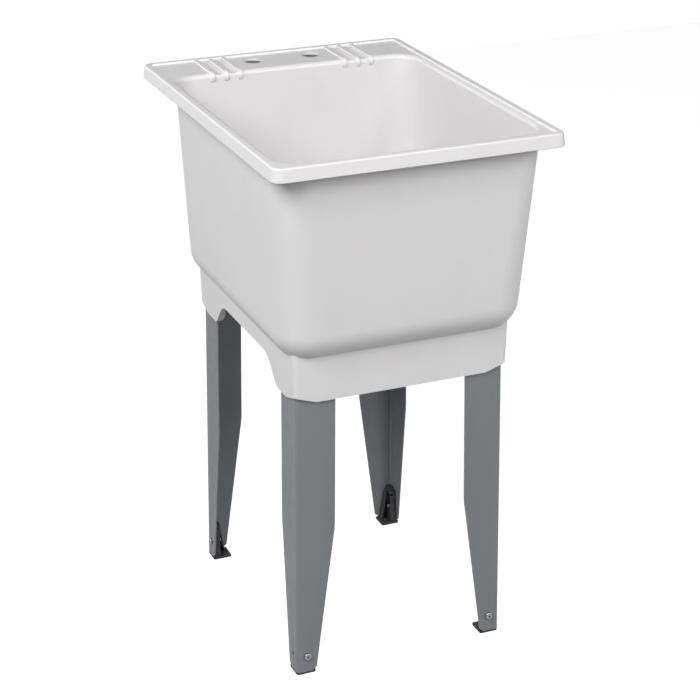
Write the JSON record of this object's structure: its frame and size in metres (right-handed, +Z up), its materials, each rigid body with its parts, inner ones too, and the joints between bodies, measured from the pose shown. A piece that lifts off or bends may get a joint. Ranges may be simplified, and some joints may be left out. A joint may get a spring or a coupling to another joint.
{
  "type": "utility laundry sink",
  "caption": "Free-standing moulded laundry sink with a deep bowl, a tap ledge, pressed-steel legs on levelling feet, and a drain with a lift-out stopper.",
  "frame": {"origin": "on the floor, under the centre of the rim", "axes": "+X to the right of someone standing in front of the bowl, +Y away from them towards the tap ledge, +Z up"},
  "size_m": [0.4576, 0.6116, 0.86],
  "materials": {
    "tub_plastic": "satin moulded",
    "leg_paint": "semi-gloss baked paint",
    "foot_plastic": "matt moulded",
    "zinc_steel": "bright zinc",
    "chrome": "polished",
    "die_cast": "cast and brushed",
    "black_rubber": "matt",
    "fibre": "pressed fibre",
    "clear_poly": "milky",
    "white_rubber": "smooth"
  },
  "bodies": {
    "sink": {"tub": "tub_plastic", "leg_front_left": "leg_paint", "leg_front_right": "leg_paint", "leg_back_left": "leg_paint", "leg_back_right": "leg_paint", "foot_screws": "zinc_steel", "foot_nuts": "zinc_steel", "drain_flange": "chrome", "drain_gasket": "black_rubber", "drain_washer": "fibre", "drain_locknut": "die_cast", "tailpiece_washer": "clear_poly", "tailpiece_nut": "chrome", "drain_tailpiece": "chrome"},
    "foot_front_left": {"foot_front_left": "foot_plastic"},
    "foot_front_right": {"foot_front_right": "foot_plastic"},
    "foot_back_left": {"foot_back_left": "foot_plastic"},
    "foot_back_right": {"foot_back_right": "foot_plastic"},
    "stopper": {"stopper": "white_rubber"},
    "stopper_ring": {"stopper_ring": "chrome"}
  },
  "joints": [
    {"name": "foot_front_left_slide", "type": "slide", "parent": "sink", "child": "foot_front_left", "axis": [-0.0127, -0.0127, -0.9998], "range_m": [0, 0.019]},
    {"name": "foot_front_right_slide", "type": "slide", "parent": "sink", "child": "foot_front_right", "axis": [0.0127, -0.0127, -0.9998], "range_m": [0, 0.019]},
    {"name": "foot_back_left_slide", "type": "slide", "parent": "sink", "child": "foot_back_left", "axis": [-0.0127, 0.0127, -0.9998], "range_m": [0, 0.019]},
    {"name": "foot_back_right_slide", "type": "slide", "parent": "sink", "child": "foot_back_right", "axis": [0.0127, 0.0127, -0.9998], "range_m": [0, 0.019]},
    {"name": "stopper_lift", "type": "slide", "parent": "sink", "child": "stopper", "axis": [0, 0, 1], "range_m": [0, 0.05]},
    {"name": "stopper_ring_hinge", "type": "hinge", "parent": "stopper", "child": "stopper_ring", "pos_m": [0, -0.02095, 0.5429], "axis": [-1, 0, 0], "range_deg": [0, 159]}
  ]
}
